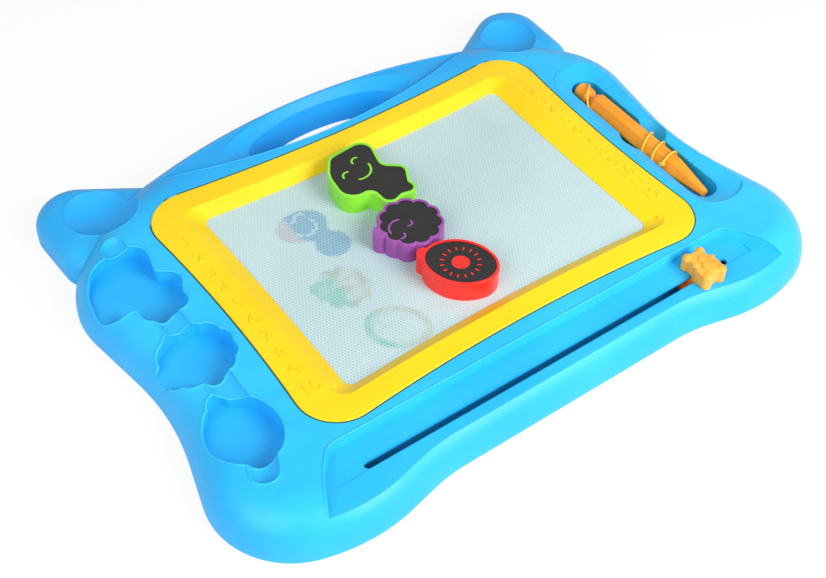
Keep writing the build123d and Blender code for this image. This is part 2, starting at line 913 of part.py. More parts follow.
def cord_path():
    bore = [cord_point(*station) for station in cord_bore_route]
    points = bore[1:] + [cord_point(*station) for station in cord_lead_route] + winding_points()
    ways = [(bore[1] - bore[0]).normalized()]
    ways += [(after - before).normalized() for before, after in zip(points, points[2:])]
    ways.append((points[-1] - points[-2]).normalized())
    edges = [Line(bore[0], bore[1])]
    for index in range(len(points) - 1):
        edges += biarc(points[index], ways[index], points[index + 1], ways[index + 1])
    return Wire([edge.edge() for edge in edges])


def pen_cord():
    path = cord_path()
    section = Plane(origin=path @ 0, z_dir=path % 0) * Circle(cord_radius)
    cord = sweep(section, path=path)
    radii = [edge.radius for edge in path.edges() if edge.geom_type == GeomType.CIRCLE]
    print("pen cord length", round(path.length, 1), "tightest bend", round(min(radii), 2))
    ideal = math.pi * cord_radius**2 * path.length
    print("pen cord volume", round(cord.volume, 2), "of", round(ideal, 2))
    print("pen cord least gap to itself", round(least_gap(path, 2 * cord_radius), 2))
    return cord


def least_gap(path, diameter):
    count = round(path.length / diameter * 4)
    points = [path @ (index / count) for index in range(count + 1)]
    gaps = []
    for index, point in enumerate(points):
        gaps += [(point - other).length for other in points[index + 16:]]
    return min(gaps) - diameter


# Stamps: moulded shell, magnetic face let into its top and a lid let into its bottom
def smile_strokes(place_x, place_y, turn, size):
    eye, half, rise = face_eye_x * size, face_eye_half * size, face_eye_rise * size
    smile = face_smile_half * size
    arcs = [((side * eye - half, 0), (side * eye, rise), (side * eye + half, 0)) for side in (-1, 1)]
    drop, low = -face_smile_drop * size, -face_smile_low * size
    arcs.append(((-smile, drop), (0, low), (smile, drop)))
    strokes = [SlotArc(ThreePointArc(*arc).edge(), stroke_width) for arc in arcs]
    return [place(stroke, (place_x, place_y), turn) for stroke in strokes]


def citrus_strokes():
    strokes = [Circle(citrus_disc_radius)]
    for index in range(citrus_seeds):
        seed = SlotOverall(citrus_seed_length, citrus_seed_width)
        turn = Rot(0, 0, index * 360 / citrus_seeds)
        strokes.append(turn * Pos(citrus_seed_ring, 0) * seed)
    return strokes


def stamp_nodes(name, outline, face, strokes, spot):
    bottom_z = panel_top_z
    top_z = bottom_z + stamp_height
    seat_z = top_z - stamp_face_depth
    web_z = seat_z - stamp_web
    lid_z = bottom_z + stamp_lid
    shell = prism(place(outline(0), spot), bottom_z, top_z)
    shell = fillet(top_edges(shell), stamp_edge_round)
    past_z = top_z + overrun
    shell -= prism(place(grown(face, stamp_fit), spot), seat_z, past_z)
    hollow = prism(place(outline(-stamp_side_wall), spot), bottom_z, web_z)
    for width, depth in [(pear_length, stamp_rib), (stamp_rib, pear_length)]:
        hollow -= block(*spot, width, depth, lid_z, web_z)
    shell -= hollow
    sheet = prism(place(face, spot), seat_z, seat_z + stamp_sheet)
    for stroke in strokes:
        ridge = place(stroke, spot)
        shell += prism(ridge, seat_z - stamp_web / 2, seat_z + stamp_sheet - stroke_drop)
        sheet -= prism(grown(ridge, stamp_fit), seat_z, past_z)
    lid = prism(place(outline(-stamp_side_wall - stamp_fit), spot), bottom_z, lid_z)
    return {f"{name}_shell": shell, f"{name}_face": sheet, f"{name}_lid": lid}


def stamps():
    pear_strokes = smile_strokes(*pear_face_place, pear_face_turn, 1)
    grape_strokes = smile_strokes(*grape_face_place, grape_face_turn, grape_face_scale)
    seeds = citrus_strokes()
    nodes = stamp_nodes("pear_stamp", pear_outline, pear_face(), pear_strokes, pear_rest)
    nodes |= stamp_nodes("grape_stamp", grape_outline, grape_face(), grape_strokes, grape_rest)
    return nodes | stamp_nodes("citrus_stamp", citrus_outline, citrus_face(), seeds, citrus_rest)


def all_nodes():
    nodes = {"top_shell": top_shell(), "base_cover": base_cover(), "bezel": bezel()}
    nodes |= {"bezel_screws": bezel_screws(), "base_screws": base_screws()}
    nodes |= screen_films()
    nodes |= {"eraser_knob": eraser_knob(), "eraser_bar": eraser_bar()}
    nodes |= {"eraser_magnet": eraser_magnet(), "eraser_screw": eraser_screw()}
    nodes |= {"pen_barrel": pen_barrel(), "pen_nose": pen_nose(), "pen_tail": pen_tail()}
    nodes |= {"pen_magnet": pen_magnet(), "pen_cord": pen_cord()}
    return nodes | stamps()


if __name__ == "__main__":
    for name, shape in all_nodes().items():
        print(name, "valid" if shape.is_valid else "NOT VALID", len(shape.solids()), "solid(s)")
        write(name, shape)
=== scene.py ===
import bmesh
import bpy
import math
from mathutils import Matrix, Vector
from mathutils.bvhtree import BVHTree


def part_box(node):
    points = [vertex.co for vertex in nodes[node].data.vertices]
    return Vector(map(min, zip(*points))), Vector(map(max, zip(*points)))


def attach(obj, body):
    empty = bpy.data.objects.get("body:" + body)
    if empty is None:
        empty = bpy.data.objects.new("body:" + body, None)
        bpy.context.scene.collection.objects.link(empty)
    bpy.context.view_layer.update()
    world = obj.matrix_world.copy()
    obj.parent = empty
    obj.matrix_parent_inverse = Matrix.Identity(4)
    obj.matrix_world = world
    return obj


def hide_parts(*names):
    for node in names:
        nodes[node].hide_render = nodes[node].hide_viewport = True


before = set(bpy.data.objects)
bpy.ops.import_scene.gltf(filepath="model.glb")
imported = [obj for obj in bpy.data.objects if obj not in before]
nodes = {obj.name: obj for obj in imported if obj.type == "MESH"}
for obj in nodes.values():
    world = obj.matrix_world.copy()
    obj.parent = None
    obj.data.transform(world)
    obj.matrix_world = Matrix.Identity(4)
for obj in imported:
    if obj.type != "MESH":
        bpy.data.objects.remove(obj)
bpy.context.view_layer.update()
mm = 0.001
root3 = math.sqrt(3)
print("frame loaded:", len(nodes), "nodes")


# Shader sums: a wire is one socket's output, and every sign between wires adds a Math node
class Wire:
    def __init__(self, finish, socket):
        self.finish = finish
        self.socket = socket

    def result(self, operation, *values):
        return self.finish.add("ShaderNodeMath", {"operation": operation}, dict(enumerate(values)))

    def __add__(self, other):
        return self.result("ADD", self, other)

    def __radd__(self, other):
        return self.result("ADD", other, self)

    def __sub__(self, other):
        return self.result("SUBTRACT", self, other)

    def __rsub__(self, other):
        return self.result("SUBTRACT", other, self)

    def __mul__(self, other):
        return self.result("MULTIPLY", self, other)

    def __rmul__(self, other):
        return self.result("MULTIPLY", other, self)

    def __truediv__(self, other):
        return self.result("DIVIDE", self, other)

    def __mod__(self, other):
        return self.result("FLOORED_MODULO", self, other)

    def __lt__(self, other):
        return self.result("LESS_THAN", self, other)

    def __abs__(self):
        return self.result("ABSOLUTE", self)

    def root(self):
        return self.result("SQRT", self)

    def larger(self, other):
        return self.result("MAXIMUM", self, other)

    def rise(self, low, high):
        # 0 below low, 1 above high and a soft step between
        settings = {"interpolation_type": "SMOOTHSTEP"}
        values = {0: self, 1: low, 2: high, 3: 0.0, 4: 1.0}
        return self.finish.add("ShaderNodeMapRange", settings, values)


def most(wires):
    # the largest of several wires
    first, *others = wires
    for wire in others:
        first = first.larger(wire)
    return first


def between(wire, start, gain):
    # the start where the wire is 0, and the start with the whole gain where it is 1
    return start + gain * wire


def colour(shade):
    # a shade is three numbers, or already a wire
    return shade if isinstance(shade, Wire) else (*shade, 1.0)


class Finish:
    def __init__(self, name):
        self.material = bpy.data.materials.new(name)
        self.material.use_nodes = True
        self.tree = self.material.node_tree
        self.tree.nodes.clear()

    def join(self, value, socket):
        if isinstance(value, Wire):
            self.tree.links.new(value.socket, socket)
        else:
            socket.default_value = value

    def add(self, kind, settings=None, values=None, out=0):
        node = self.tree.nodes.new(kind)
        for name, value in (settings or {}).items():
            setattr(node, name, value)
        for name, value in (values or {}).items():
            self.join(value, node.inputs[name])
        return Wire(self, node.outputs[out])

    def point(self):
        return self.add("ShaderNodeTexCoord", out="Object")

    def split(self, vector):
        parts = self.add("ShaderNodeSeparateXYZ", values={0: vector})
        return [Wire(self, socket) for socket in parts.socket.node.outputs]

    def stretched(self, vector, scale, turn=(0, 0, 0)):
        return self.add("ShaderNodeMapping", values={"Vector": vector, "Scale": scale, "Rotation": turn})

    def noise(self, vector, scale, detail=2.0, roughness=0.5):
        values = {"Vector": vector, "Scale": scale, "Detail": detail, "Roughness": roughness}
        return self.add("ShaderNodeTexNoise", values=values)

    def mixed(self, factor, first, second):
        # a Mix node has its colours at inputs 6 and 7 and at output 2
        values = {0: factor, 6: colour(first), 7: colour(second)}
        return self.add("ShaderNodeMix", {"data_type": "RGBA"}, values, 2)

    def bump(self, height, depth, under=None):
        values = {"Height": height, "Distance": depth, "Strength": 1.0}
        if under is not None:
            values["Normal"] = under
        return self.add("ShaderNodeBump", values=values)

    def close(self, shader):
        output = self.tree.nodes.new("ShaderNodeOutputMaterial")
        self.join(shader, output.inputs["Surface"])
        return self.material

    def principled(self, values):
        return self.close(self.add("ShaderNodeBsdfPrincipled", values=values))


# Moulded plastic: pigment clouds, faint flow streaks, rub marks, a spark-eroded grain and, where given,
# painted shade
plasticLook = {
    "cloudScale": 14.0,
    "cloudShare": 0.65,
    "streakScale": (8.0, 60.0, 30.0),
    "streakShare": 0.35,
    "toneRise": (0.3, 0.7),
    "rubScale": (26.0, 900.0, 60.0),
    "rubTurn": (0.0, 0.0, 0.6),
    "rubRise": (0.66, 0.74),
    "dullScale": 22.0,
    "dullRise": (0.35, 0.75),
    "grainScale": 2600.0,
    "grainDepth": 0.00002,
    "wavyDepth": 0.0006,
    "rough": 0.30,
    "dullRough": 0.06,
    "rubRough": 0.05,
    "grainRough": 0.05,
    "index": 1.5,
    "shine": 0.32,
    "coat": 0.03,
    "coatRough": 0.2,
    "thick": None,
}


def mouldedPlastic(name, deep, light, **changes):
    look = {**plasticLook, **changes}
    finish = Finish(name)
    point = finish.point()
    cloud = finish.noise(point, look["cloudScale"], detail=3.0)
    streaks = finish.noise(finish.stretched(point, look["streakScale"]), 1.0, detail=4.0, roughness=0.6)
    tone = (look["cloudShare"] * cloud + look["streakShare"] * streaks).rise(*look["toneRise"])
    base = finish.mixed(tone, deep, light)
    if look["thick"]:
        # painted shade: the blue is mixed towards a deeper shade low down in the recesses and towards the
        # back, where less light falls
        thick = look["thick"]
        _, y, z = finish.split(point)
        depth = thick["lowShare"] * (1 - z.rise(*thick["z"]))
        depth = depth.larger(thick["backShare"] * y.rise(*thick["y"]))
        base = finish.mixed(depth, base, thick["shade"])
    rub = finish.noise(finish.stretched(point, look["rubScale"], look["rubTurn"]), 1.0)
    rub = rub.rise(*look["rubRise"])
    grain = finish.noise(point, look["grainScale"])
    dull = finish.noise(point, look["dullScale"]).rise(*look["dullRise"])
    rough = look["rough"] + look["dullRough"] * dull + look["rubRough"] * rub + look["grainRough"] * grain
    normal = finish.bump(grain, look["grainDepth"])
    normal = finish.bump(streaks, look["wavyDepth"], normal)
    return finish.principled({
        "Base Color": base,
        "Roughness": rough,
        "Normal": normal,
        "IOR": look["index"],
        "Specular IOR Level": look["shine"],
        "Coat Weight": look["coat"],
        "Coat Roughness": look["coatRough"],
    })


# Painted shade on the shell, in metres: darker below the deck in the recesses and towards the back
shellPaintedShade = {
    "z": (0.012, 0.0262),
    "lowShare": 0.36,
    "y": (0.080, 0.115),
    "backShare": 0.58,
    "shade": (0.010, 0.290, 0.78),
}
shellPlastic = mouldedPlastic(
    "shellPlastic", (0.016, 0.455, 0.88), (0.030, 0.530, 0.94), rough=0.36, thick=shellPaintedShade)
coverPlastic = mouldedPlastic(
    "coverPlastic", (0.014, 0.40, 0.80), (0.024, 0.47, 0.88),
    rough=0.52, grainScale=1500.0, grainDepth=0.00006, coat=0.0)
bezelPlastic = mouldedPlastic("bezelPlastic", (0.88, 0.60, 0.004), (0.95, 0.68, 0.008), rough=0.34)
orangePlastic = mouldedPlastic(
    "orangePlastic", (0.97, 0.30, 0.010), (1.0, 0.39, 0.022), rough=0.28, coat=0.12, cloudScale=60.0)
knobPlastic = mouldedPlastic(
    "knobPlastic", (0.93, 0.38, 0.035), (0.98, 0.48, 0.060), rough=0.30, coat=0.12, cloudScale=80.0)
barPlastic = mouldedPlastic("barPlastic", (0.72, 0.16, 0.012), (0.80, 0.21, 0.02), rough=0.45, coat=0.0)
greenPlastic = mouldedPlastic(
    "greenPlastic", (0.20, 0.68, 0.020), (0.29, 0.82, 0.045), rough=0.26, coat=0.12, cloudScale=70.0)
purplePlastic = mouldedPlastic(
    "purplePlastic", (0.26, 0.058, 0.31), (0.34, 0.085, 0.39), rough=0.26, coat=0.12, cloudScale=70.0)
redPlastic = mouldedPlastic(
    "redPlastic", (0.90, 0.016, 0.010), (0.98, 0.032, 0.020), rough=0.24, coat=0.12, cloudScale=70.0)
# painted shadow: a near-black blue for the bead laid in the gap round the bezel, where it is in shade
seamShade = mouldedPlastic("seamShade", (0.006, 0.05, 0.06), (0.008, 0.07, 0.08), rough=0.6)
print("plastics made")


# Bonded ferrite sheet: nearly black, sanded, with fine pale specks and faint rolling lines
magnetLook = {
    "deep": (0.013, 0.0125, 0.0125),
    "light": (0.024, 0.023, 0.022),
    "cloudScale": 90.0,
    "speck": (0.10, 0.10, 0.10),
    "speckScale": 3200.0,
    "speckRise": (0.68, 0.78),
    "speckShare": 0.35,
    "lineScale": (90.0, 1400.0, 90.0),
    "lineTurn": (0, 0, 0.5),
    "lineDepth": 0.00002,
    "grainScale": 1800.0,
    "grainDepth": 0.00003,
    "rough": (0.48, 0.16),
    "shine": 0.25,
}


def magnetSheet():
    look = magnetLook
    finish = Finish("magnetSheet")
    point = finish.point()
    lines = finish.noise(finish.stretched(point, look["lineScale"], look["lineTurn"]), 1.0, detail=3.0)
    specks = finish.noise(point, look["speckScale"], detail=1.0).rise(*look["speckRise"])
    cloud = finish.noise(point, look["cloudScale"], detail=3.0)
    base = finish.mixed(cloud, look["deep"], look["light"])
    base = finish.mixed(look["speckShare"] * specks, base, look["speck"])
    normal = finish.bump(finish.noise(point, look["grainScale"], detail=3.0), look["grainDepth"])
    normal = finish.bump(lines, look["lineDepth"], normal)
    return finish.principled({
        "Base Color": base,
        "Roughness": between(lines, *look["rough"]),
        "Normal": normal,
        "Specular IOR Level": look["shine"],
    })


# Zinc plated steel: grainy plating, turned marks round the head and a light haze
steelLook = {
    "deep": (0.46, 0.47, 0.48),
    "light": (0.66, 0.67, 0.68),
    "hazeScale": 320.0,
    "hazeRough": 0.18,
    "markScale": (400.0, 400.0, 5200.0),
    "markRough": 0.08,
    "markDepth": 0.00001,
    "rough": 0.24,
}


def zincSteel():
    look = steelLook
    finish = Finish("zincSteel")
    point = finish.point()
    haze = finish.noise(point, look["hazeScale"], detail=4.0)
    marks = finish.noise(finish.stretched(point, look["markScale"]), 1.0)
    return finish.principled({
        "Base Color": finish.mixed(haze, look["deep"], look["light"]),
        "Roughness": look["rough"] + look["hazeRough"] * haze + look["markRough"] * marks,
        "Metallic": 1.0,
        "Normal": finish.bump(marks, look["markDepth"]),
    })


# Soft cord: matt elastic with a fine twist and slightly paler high spots
cordLook = {
    "deep": (0.88, 0.44, 0.02),
    "light": (0.96, 0.55, 0.04),
    "cloudScale": 130.0,
    "fibre": (1.0, 0.72, 0.16),
    "fibreScale": (5200.0, 1700.0, 5200.0),
    "fibreShare": 0.35,
    "fibreDepth": 0.00006,
    "rough": (0.5, 0.15),
}


def softCord():
    look = cordLook
    finish = Finish("softCord")
    point = finish.point()
    fibre = finish.noise(finish.stretched(point, look["fibreScale"]), 1.0, detail=3.0)
    cloud = finish.noise(point, look["cloudScale"])
    base = finish.mixed(cloud, look["deep"], look["light"])
    return finish.principled({
        "Base Color": finish.mixed(look["fibreShare"] * fibre, base, look["fibre"]),
        "Roughness": between(fibre, *look["rough"]),
        "Normal": finish.bump(fibre, look["fibreDepth"]),
    })


# The sheet behind the front film: plain milky cells without prints
sheetLook = {
    "deep": (0.60, 0.70, 0.69),
    "light": (0.70, 0.79, 0.78),
    "cloudScale": 30.0,
    "fineScale": 1200.0,
    "fineDepth": 0.00002,
    "rough": (0.45, 0.12),
}


def milkySheet():
    look = sheetLook
    finish = Finish("milkySheet")
    point = finish.point()
    cloud = finish.noise(point, look["cloudScale"], detail=3.0)
    fine = finish.noise(point, look["fineScale"])
    return finish.principled({
        "Base Color": finish.mixed(cloud, look["deep"], look["light"]),
        "Roughness": between(fine, *look["rough"]),
        "Normal": finish.bump(fine, look["fineDepth"]),
    })


# Celled screen: milky hexagon cells under a film, with the powder prints of the three stamps.
# All places are in millimetres on the panel. A pair of strengths is a start and a gain.
screenLook = {
    "pitch": 2.05,
    "wall": 0.085,  # in pitches
    "wallShares": (0.5, 1.6),  # where the wall's soft edge begins and ends
    "wallColour": (0.70, 0.82, 0.85),
    "wallStrength": (0.72, -0.42),
    "wallDepth": 0.00005,
    "deep": (0.375, 0.550, 0.580),
    "light": (0.435, 0.620, 0.640),
    "cloudScale": 9.0,
    "cloudRise": (0.35, 0.65),
    "speck": (0.80, 0.88, 0.89),
    "speckFlat": (1.0, 1.0, 0.0),
    "speckScale": 700.0,
    "speckShare": 0.12,
    "powderScale": 900.0,
    "powderRise": (0.25, 0.75),
    "patchScale": 130.0,
    "patchRise": (0.34, 0.60),
    "splitSoft": 1.5,
    "rough": (0.42, 0.12),
    "shine": 0.30,
    "coat": 0.06,
    "coatRough": 0.2,
}
inks = {
    "mauve": (0.33, 0.20, 0.29),
    "blue": (0.060, 0.27, 0.46),
    "green": (0.085, 0.42, 0.30),
    "tan": (0.33, 0.34, 0.18),
}
pearPrint = {
    "forms": [
        {"place": (-62.4, 40.2, 16.0, 12.6), "rim": (0.92, 1.06)},
        {"place": (-54.8, 18.4, 10.6, 10.4), "rim": (0.90, 1.08)},
        {"place": (-57.6, 30.0, 7.6, 8.0), "rim": (0.85, 1.10)},
    ],
    "strokes": [
        {"place": (-61.8, 39.6, 7.4), "width": 0.14, "side": (0.45, -0.90)},
        {"place": (-68.5, 44.0, 3.4), "width": 0.28, "side": (-0.35, 0.93)},
        {"place": (-59.5, 46.6, 3.4), "width": 0.28, "side": (-0.35, 0.93)},
    ],
    "strokeCore": 0.6,
    "strokeEnds": (-0.5, 0.8),
    "strokeFade": 0.75,
    "split": -68.0,
    "splitStrength": (0.50, 0.34),
    "powderStrength": (0.78, 0.22),
}
grapePrint = {
    "core": (-69.0, -13.6, 12.2),
    "leaf": (-82.0, -7.0, 5.0),
    "lobeRadius": 4.6,
    "lobes": 9,
    "firstTurn": 0.4,
    "soft": 0.12,
    "split": -70.0,
    "mauveRise": (-2.5, 1.0),
    "mauveShare": 0.7,
    "strength": 0.74,
    "patchStrength": (0.25, 0.75),
    "powderStrength": (0.75, 0.25),
}
ringPrint = {
    "place": (-60.8, -55.6, 19.4, 15.4),
    "turn": -45.0,
    "inner": (0.66, 0.84),
    "outer": (0.95, 1.05),
    "seedScale": 420.0,
    "seedRise": (0.45, 0.70),
    "seedReach": (0.70, 0.90),
    "seedStrength": 0.30,
    "split": -66.0,
    "strength": 0.74,
    "patchStrength": (0.5, 0.5),
    "splitStrength": (1.05, -0.25),
}


def oval(x, y, place, turn=0.0):
    # 0 in the middle, 1 on the rim; a place is the middle with one radius or two half sizes
    cosine, sine = math.cos(math.radians(turn)), math.sin(math.radians(turn))
    fromX, fromY = x - place[0], y - place[1]
    across = (fromX * cosine + fromY * sine) / place[2]
    along = (fromY * cosine - fromX * sine) / place[-1]
    return (across * across + along * along).root()


def strokeArc(x, y, stroke):
    # a thin ring, kept on one side of a line through its middle
    width, (sideX, sideY) = stroke["width"], stroke["side"]
    middleX, middleY, _ = stroke["place"]
    away = abs(oval(x, y, stroke["place"]) - 1)
    ring = 1 - away.rise(width * pearPrint["strokeCore"], width)
    side = (x - middleX) * sideX + (y - middleY) * sideY
    return ring * side.rise(*pearPrint["strokeEnds"])


def splitInk(finish, x, split, first, second):
    # two inks that meet along a line, and the share of the second
    shade = x.rise(split - screenLook["splitSoft"], split + screenLook["splitSoft"])
    return finish.mixed(shade, inks[first], inks[second]), shade


def pearInk(finish, x, y, powder):
    look = pearPrint
    pear = most(1 - oval(x, y, form["place"]).rise(*form["rim"]) for form in look["forms"])
    smile = most(strokeArc(x, y, stroke) for stroke in look["strokes"])
    pear = pear * (1 - look["strokeFade"] * smile)
    ink, shade = splitInk(finish, x, look["split"], "mauve", "blue")
    strength = between(shade, *look["splitStrength"]) * between(powder, *look["powderStrength"]) * pear
    return strength, ink


def grapeInk(finish, x, y, powder, patch):
    look = grapePrint
    middleX, middleY, radius = look["core"]
    discs = [look["core"], look["leaf"]]
    for lobe in range(look["lobes"]):
        turn = 2 * math.pi * lobe / look["lobes"] + look["firstTurn"]
        spot = (middleX + radius * math.cos(turn), middleY + radius * math.sin(turn))
        discs.append((*spot, look["lobeRadius"]))
    grape = most(1 - oval(x, y, disc).rise(1 - look["soft"], 1 + look["soft"]) for disc in discs)
    ink, _ = splitInk(finish, x, look["split"], "green", "tan")
    ink = finish.mixed(look["mauveShare"] * y.rise(*look["mauveRise"]), ink, inks["mauve"])
    strength = look["strength"] * grape * between(patch, *look["patchStrength"])
    return strength * between(powder, *look["powderStrength"]), ink


def ringInk(finish, point, x, y, patch):
    look = ringPrint
    reach = oval(x, y, look["place"], look["turn"])
    ring = reach.rise(*look["inner"]) * (1 - reach.rise(*look["outer"]))
    seeds = finish.noise(point, look["seedScale"]).rise(*look["seedRise"])
    seeds = seeds * (1 - reach.rise(*look["seedReach"]))
    ink, shade = splitInk(finish, x, look["split"], "green", "tan")
    strength = look["strength"] * ring * between(patch, *look["patchStrength"])
    strength = strength.larger(look["seedStrength"] * seeds)
    return strength * between(shade, *look["splitStrength"]), ink


def cellPlace(x, y, pitch):
    # the place in the nearest hexagon cell, in pitches from the cell's middle
    column, row = x / pitch, y / pitch
    evenX, evenY = column % 1.0 - 0.5, row % root3 - root3 / 2
    oddX, oddY = (column - 0.5) % 1.0 - 0.5, (row - root3 / 2) % root3 - root3 / 2
    even = (evenX * evenX + evenY * evenY) < (oddX * oddX + oddY * oddY)
    return oddX + even * (evenX - oddX), oddY + even * (evenY - oddY)


def celledScreen():
    look = screenLook
    finish = Finish("celledScreen")
    point = finish.point()
    x, y, _ = finish.split(point)
    x, y = x / mm, y / mm
    cellX, cellY = cellPlace(x, y, look["pitch"])
    # 0 on the hexagon's sides and 0.5 in its middle
    edge = 0.5 - abs(cellX).larger(0.5 * abs(cellX) + (root3 / 2) * abs(cellY))
    inside = edge.rise(*(look["wall"] * share for share in look["wallShares"]))
    # a cell has the ink of its middle all over
    x, y = x - look["pitch"] * cellX, y - look["pitch"] * cellY

    cloud = finish.noise(point, look["cloudScale"], detail=3.0).rise(*look["cloudRise"])
    powder = finish.noise(point, look["powderScale"]).rise(*look["powderRise"])
    patch = finish.noise(point, look["patchScale"], detail=3.0).rise(*look["patchRise"])
    specks = finish.noise(finish.stretched(point, look["speckFlat"]), look["speckScale"])
    prints = [
        pearInk(finish, x, y, powder),
        grapeInk(finish, x, y, powder, patch),
        ringInk(finish, point, x, y, patch),
    ]
    base = finish.mixed(cloud, look["deep"], look["light"])
    for strength, ink in prints:
        base = finish.mixed(strength, base, ink)
    marks = most(strength for strength, _ in prints)
    base = finish.mixed(look["speckShare"] * specks, base, look["speck"])
    walls = (1 - inside) * between(marks, *look["wallStrength"])
    return finish.principled({
        "Base Color": finish.mixed(walls, base, look["wallColour"]),
        "Roughness": between(inside, *look["rough"]),
        "Normal": finish.bump(inside, -look["wallDepth"]),
        "Specular IOR Level": look["shine"],
        "Coat Weight": look["coat"],
        "Coat Roughness": look["coatRough"],
    })


magnetBlack = magnetSheet()
platedSteel = zincSteel()
cordFinish = softCord()
screenFinish = celledScreen()
sheetFinish = milkySheet()

nodeFinish = {
    "top_shell": shellPlastic,
    "base_cover": coverPlastic,
    "bezel": bezelPlastic,
    "bezel_screws": platedSteel,
    "base_screws": platedSteel,
    "eraser_screw": platedSteel,
    "screen_front_film": screenFinish,
    "screen_cell_core": sheetFinish,
    "screen_back_film": sheetFinish,
    "eraser_knob": knobPlastic,
    "eraser_bar": barPlastic,
    "eraser_magnet": magnetBlack,
    "pen_barrel": orangePlastic,
    "pen_nose": orangePlastic,
    "pen_tail": orangePlastic,
    "pen_magnet": magnetBlack,
    "pen_cord": cordFinish,
    "pear_stamp_shell": greenPlastic,
    "pear_stamp_lid": greenPlastic,
    "grape_stamp_shell": purplePlastic,
    "grape_stamp_lid": purplePlastic,
    "citrus_stamp_shell": redPlastic,
    "citrus_stamp_lid": redPlastic,
    "pear_stamp_face": magnetBlack,
    "grape_stamp_face": magnetBlack,
    "citrus_stamp_face": magnetBlack,
}
for nodeName, material in nodeFinish.items():
    node = nodes[nodeName]
    if not node.material_slots:
        node.data.materials.append(material)
    for materialSlot in node.material_slots:
        materialSlot.material = material
print("finishes given to", len(nodeFinish), "nodes")


def linked(thing, name):
    piece = bpy.data.objects.new(name, thing)
    bpy.context.scene.collection.objects.link(piece)
    return piece


def settled(piece):
    # the evaluated mesh of a piece with its place and modifiers, as a plain mesh at the origin
    depsgraph = bpy.context.evaluated_depsgraph_get()
    depsgraph.update()
    mesh = bpy.data.meshes.new_from_object(piece.evaluated_get(depsgraph))
    mesh.transform(piece.matrix_world)
    return mesh


def joined(name, parts, material, sharpAngle=None):
    # one mesh object from several parts, which are removed
    bpy.context.view_layer.update()
    verts, faces = [], []
    for part in parts:
        mesh = settled(part)
        first = len(verts)
        verts += [vertex.co.copy() for vertex in mesh.vertices]
        faces += [[first + index for index in polygon.vertices] for polygon in mesh.polygons]
        bpy.data.meshes.remove(mesh)
    for part in parts:
        bpy.data.objects.remove(part)
    whole = bpy.data.meshes.new(name)
    whole.from_pydata(verts, [], faces)
    whole.materials.append(material)
    whole.validate()
    whole.shade_smooth()
    if sharpAngle is not None:
        whole.set_sharp_from_angle(angle=math.radians(sharpAngle))
    return linked(whole, name)


# Pen cord: one spline through the listed stations, wound on from the tail to the grip.
# A station is the turn about the pen's axis in degrees, the place along it and the distance
# from it in millimetres.
cordSizes = {
    "radius": 0.7,
    "penX": 159.6,
    "penZ": 17.8,
    "bore": [(46.0, 47.6, 3.6), (50.0, 46.0, 5.9)],
    "lead": [
        (72.0, 42.6, 7.1),
        (100.0, 39.7, 7.8),
        (130.0, 36.1, 8.3),
        (158.0, 32.5, 8.6),
        (186.0, 28.0, 8.6),
        (216.0, 22.0, 8.6),
        (246.0, 15.3, 8.6),
        (276.0, 8.1, 8.6),
        (306.0, 0.4, 8.6),
        (334.0, -6.8, 8.6),
    ],
    "windingRadius": 8.3,
    "pointsInTurn": 12,
    "cornerShare": 0.9665,  # the spline's distance from the axis, as a share of its points'
    "startY": -13.0,
    "turns": 2.5,
    "pitch": 11.5,
    "slant": 4.5,  # how far the first turn leans along the pen
    "fallShare": 1.3,  # how much of that lean is lost by the last turn
    "length": 0.205,  # in metres
}
curveSteps = {"along": 8, "around": 3, "order": 3}


def cordPoint(turn, y, radius):
    angle = math.radians(turn)
    x = cordSizes["penX"] + radius * math.cos(angle)
    z = cordSizes["penZ"] + radius * math.sin(angle)
    return Vector((x * mm, y * mm, z * mm))


def cordRoute():
    sizes = cordSizes
    points = [cordPoint(*station) for station in sizes["bore"] + sizes["lead"]]
    steps = round(sizes["turns"] * sizes["pointsInTurn"])
    for step in range(steps):
        turn = 360 * step / sizes["pointsInTurn"]
        fall = 1 - sizes["fallShare"] * step / steps
        lean = sizes["slant"] * fall * (1 - math.cos(math.radians(turn))) / 2
        y = sizes["startY"] - sizes["pitch"] * turn / 360 - lean
        points.append(cordPoint(turn, y, sizes["windingRadius"] / sizes["cornerShare"]))
    return points


def splineCurve(name, points, radius, closed=False):
    curve = bpy.data.curves.new(name, "CURVE")
    curve.dimensions = "3D"
    curve.resolution_u = curveSteps["along"]
    curve.bevel_depth = radius
    curve.bevel_resolution = curveSteps["around"]
    curve.use_fill_caps = not closed
    spline = curve.splines.new("NURBS")
    spline.points.add(len(points) - 1)
    for slot, place in zip(spline.points, points):
        slot.co = (*place, 1.0)
    spline.order_u = curveSteps["order"]
    spline.use_cyclic_u = closed
    spline.use_endpoint_u = not closed
    return curve


route = cordRoute()
cordCurve = splineCurve("pen_cord_line", route, cordSizes["radius"] * mm)
cordCurve.materials.append(cordFinish)
penCord = linked(cordCurve, "pen_cord_line")
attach(penCord, "pen")
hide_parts("pen_cord")

# Stopper knot on the cord's end: a three-lobed loop drawn tight, with a short tail.
# The tail's rows are shares of its length to the side and along the cord.
knotSizes = {
    "scale": 0.50,
    "radius": 0.62,
    "points": 36,
    "flat": 0.8,
    "lift": 0.3,
    "tail": 3.0,
    "tailShares": [(0.0, 0.0), (0.5, 0.3), (1.0, 0.2)],
}


